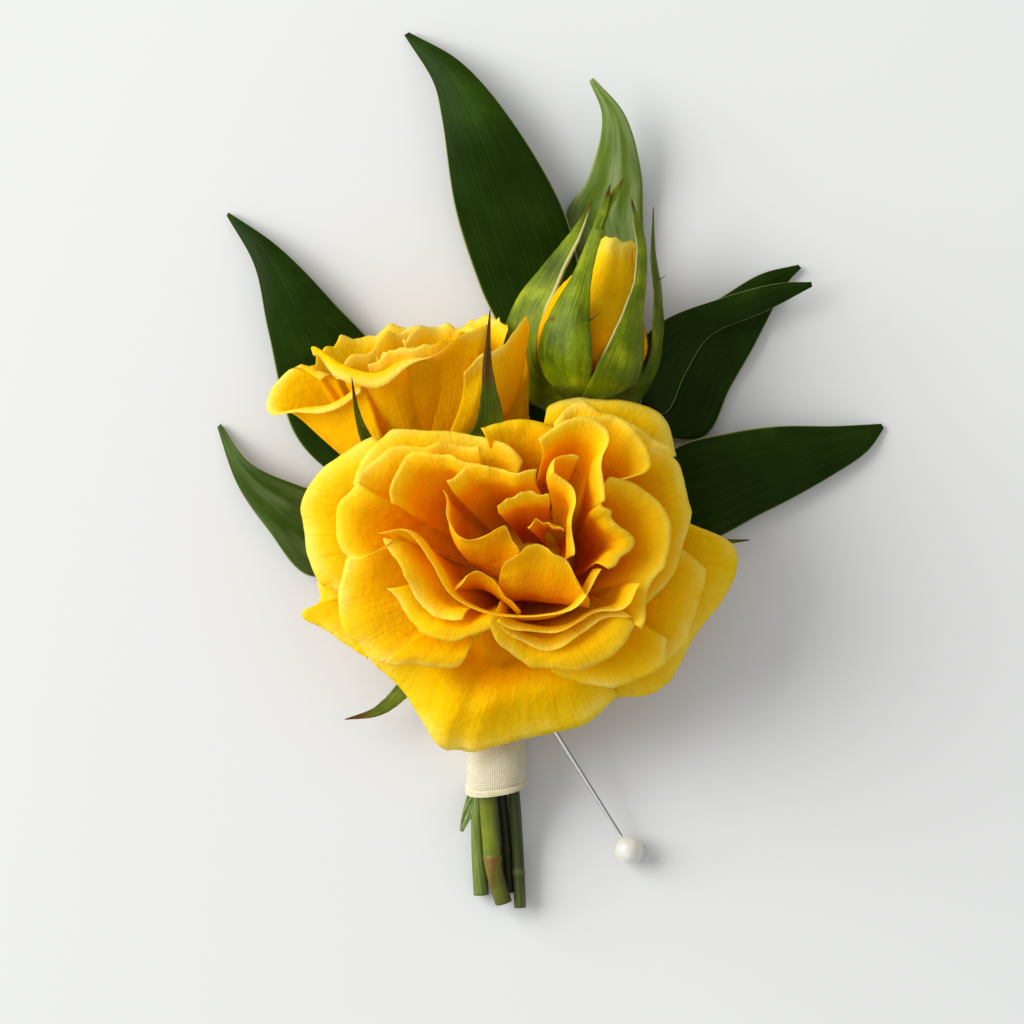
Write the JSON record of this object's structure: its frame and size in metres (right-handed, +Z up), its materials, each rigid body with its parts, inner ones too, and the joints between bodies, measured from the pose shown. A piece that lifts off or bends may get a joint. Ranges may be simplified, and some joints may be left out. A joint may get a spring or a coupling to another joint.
{
  "type": "boutonniere",
  "caption": "Boutonniere lying face up: yellow roses and a bud over leafy sprigs, stems bound with an ivory ribbon, with a pearl-headed pin.",
  "frame": {"origin": "centre of the ribbon wrap's flat back, which rests on the surface", "axes": "+X across the flowers to the right, +Y from the cut stems to the leaf tips, +Z up from the surface, out of the open rose's face"},
  "size_m": [0.0944, 0.1238, 0.0331],
  "materials": {
    "petal": "satin",
    "sepal_and_stem": "satin",
    "leaf": "satin",
    "ribbon": "matte",
    "floral_tape": "matte",
    "pin_steel": "polished",
    "pearl": "gloss"
  },
  "bodies": {
    "root": {"open_rose_petals": "petal", "side_rose_petals": "petal", "bud_petals": "petal", "open_rose_stem": "sepal_and_stem", "side_rose_stem": "sepal_and_stem", "bud_stem": "sepal_and_stem", "top_sprig": "leaf", "left_sprig": "leaf", "right_sprig": "leaf", "ribbon_wrap": "ribbon", "stem_tape": "floral_tape", "pin_shaft": "pin_steel", "pin_head": "pearl"}
  },
  "joints": []
}
